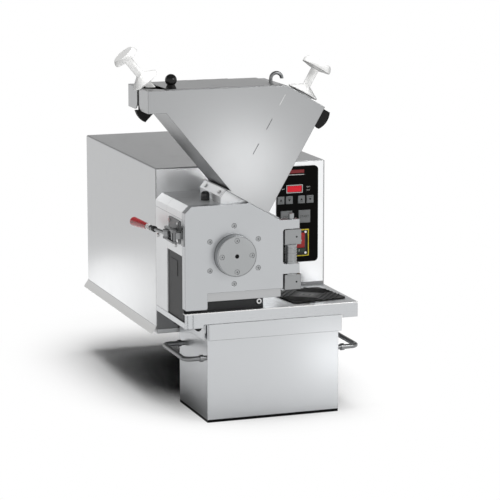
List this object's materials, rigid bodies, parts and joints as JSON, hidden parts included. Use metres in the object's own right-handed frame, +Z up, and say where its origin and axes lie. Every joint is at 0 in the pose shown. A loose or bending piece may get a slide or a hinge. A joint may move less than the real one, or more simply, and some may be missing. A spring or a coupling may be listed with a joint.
{
  "type": "bench-top cutting mill",
  "caption": "Laboratory cutting mill with a hinged chamber door, toggle latch, slanted feed hopper with lid and plungers, control panel and a slide-in collecting vessel.",
  "frame": {"origin": "centre of the four stand bolts, on the underside of the housing base plate", "axes": "+Z up, -Y towards the operator (the chamber door and control panel face -Y), +X to the operator's right; the bolts point down (-Z)"},
  "size_m": [0.5522, 0.8295, 0.8354],
  "materials": {
    "housing_satin": "fine satin-ground stainless sheet",
    "aluminium_blasted": "fine bead-blasted aluminium casting",
    "aluminium_dark": "dark hard-coated aluminium",
    "stainless_brushed": "brushed stainless sheet",
    "stainless_blasted": "fine bead-blasted stainless steel",
    "steel_bright": "bright plated steel fasteners",
    "tool_steel": "ground tool steel",
    "motor_painted": "dark painted motor body",
    "panel_black": "gloss black membrane panel",
    "display_red": "red display window",
    "key_grey": "grey membrane keys",
    "switch_black": "black switch frame",
    "stop_red": "red stop push plate",
    "start_green": "green start push plate",
    "grip_red": "red moulded grip",
    "knob_black": "black moulded knobs",
    "rubber_black": "black rubber",
    "plunger_white": "white turned plastic",
    "gland_black": "black cable gland"
  },
  "bodies": {
    "frame": {"base_plate": "housing_satin", "housing_cover": "housing_satin", "housing_front": "housing_satin", "rear_panel": "housing_satin", "mains_gland": "gland_black", "control_panel": "panel_black", "display_window": "display_red", "switch_frame": "switch_black", "motor": "motor_painted", "head_carrier": "aluminium_blasted", "chamber_body": "stainless_blasted", "bearing_cartridge": "tool_steel", "fixed_knives": "tool_steel", "sieve_cassette": "stainless_brushed", "outlet_housing": "aluminium_dark", "cassette_bar": "stainless_brushed", "table_plate": "stainless_brushed", "table_fittings": "rubber_black", "bench_mat": "rubber_black", "vessel_rails": "stainless_brushed", "hinge_blocks": "stainless_blasted", "hinge_pin": "steel_bright", "hinge_barrel": "steel_bright", "latch_base": "stainless_brushed", "hopper_shell": "stainless_brushed", "hopper_partition": "stainless_brushed", "hopper_bracket": "stainless_brushed", "side_bumpers": "rubber_black", "hopper_hook": "steel_bright", "lid_hinge_pin": "steel_bright", "pan_screws": "steel_bright", "head_screws": "steel_bright"},
    "rotor": {"rotor_shaft": "tool_steel", "rotor_body": "tool_steel", "rotor_knives": "tool_steel", "rotor_nut": "steel_bright"},
    "door": {"door_plate": "stainless_blasted", "door_liner": "stainless_brushed", "door_screws": "steel_bright", "bearing_cap": "stainless_blasted", "cap_screws": "steel_bright", "latch_keeper": "stainless_brushed"},
    "latch_lever": {"latch_lever": "steel_bright", "latch_grip": "grip_red"},
    "latch_hook": {"latch_hook": "steel_bright"},
    "hopper_lid": {"hopper_lid": "stainless_brushed", "lid_knob": "knob_black"},
    "left_plunger": {"left_plunger": "plunger_white"},
    "right_plunger": {"right_plunger": "plunger_white"},
    "key_1": {"key_1": "key_grey"},
    "key_2": {"key_2": "key_grey"},
    "key_3": {"key_3": "key_grey"},
    "key_4": {"key_4": "key_grey"},
    "key_5": {"key_5": "key_grey"},
    "key_6": {"key_6": "key_grey"},
    "stop_button": {"stop_button": "stop_red"},
    "start_button": {"start_button": "start_green"},
    "index_knob": {"index_knob": "knob_black"},
    "vessel": {"vessel_body": "stainless_brushed", "vessel_handles": "stainless_brushed"}
  },
  "joints": [
    {"name": "rotor_spin", "type": "hinge", "parent": "frame", "child": "rotor", "pos_m": [-0.091, -0.44, 0.215], "axis": [0, -1, 0], "continuous": true},
    {"name": "door_swing", "type": "hinge", "parent": "frame", "child": "door", "pos_m": [0.046, -0.4895, 0.21], "axis": [0, 0, 1], "range_deg": [0, 110]},
    {"name": "latch_lever", "type": "hinge", "parent": "frame", "child": "latch_lever", "pos_m": [-0.229, -0.446, 0.262], "axis": [0, 0, 1], "range_deg": [0, 120]},
    {"name": "latch_hook", "type": "hinge", "parent": "latch_lever", "child": "latch_hook", "pos_m": [-0.22486, -0.43055, 0.262], "axis": [0, 0, 1], "range_deg": [-145, 0]},
    {"name": "hopper_lid", "type": "hinge", "parent": "frame", "child": "hopper_lid", "pos_m": [-0.11, -0.3352, 0.581], "axis": [-1, 0, 0], "range_deg": [0, 100]},
    {"name": "left_plunger_slide", "type": "slide", "parent": "frame", "child": "left_plunger", "axis": [-0.6374, 0, 0.7705], "range_m": [0, 0.15]},
    {"name": "right_plunger_slide", "type": "slide", "parent": "frame", "child": "right_plunger", "axis": [0.5, 0, 0.866], "range_m": [0, 0.15]},
    {"name": "key_1_press", "type": "slide", "parent": "frame", "child": "key_1", "axis": [0, 1, 0], "range_m": [0, 0.001], "stiffness_N_per_m": 800},
    {"name": "key_2_press", "type": "slide", "parent": "frame", "child": "key_2", "axis": [0, 1, 0], "range_m": [0, 0.001], "stiffness_N_per_m": 800},
    {"name": "key_3_press", "type": "slide", "parent": "frame", "child": "key_3", "axis": [0, 1, 0], "range_m": [0, 0.001], "stiffness_N_per_m": 800},
    {"name": "key_4_press", "type": "slide", "parent": "frame", "child": "key_4", "axis": [0, 1, 0], "range_m": [0, 0.001], "stiffness_N_per_m": 800},
    {"name": "key_5_press", "type": "slide", "parent": "frame", "child": "key_5", "axis": [0, 1, 0], "range_m": [0, 0.001], "stiffness_N_per_m": 800},
    {"name": "key_6_press", "type": "slide", "parent": "frame", "child": "key_6", "axis": [0, 1, 0], "range_m": [0, 0.001], "stiffness_N_per_m": 800},
    {"name": "stop_press", "type": "slide", "parent": "frame", "child": "stop_button", "axis": [0, 1, 0], "range_m": [0, 0.004], "stiffness_N_per_m": 600},
    {"name": "start_press", "type": "slide", "parent": "frame", "child": "start_button", "axis": [0, 1, 0], "range_m": [0, 0.004], "stiffness_N_per_m": 600},
    {"name": "index_pull", "type": "slide", "parent": "frame", "child": "index_knob", "axis": [0, 0, 1], "range_m": [0, 0.006], "stiffness_N_per_m": 900},
    {"name": "vessel_slide", "type": "slide", "parent": "frame", "child": "vessel", "axis": [0, -1, 0], "range_m": [0, 0.21]}
  ],
  "couplings": [
    {"joint": "latch_hook", "follows": "latch_lever", "ratio": -1.2083}
  ]
}
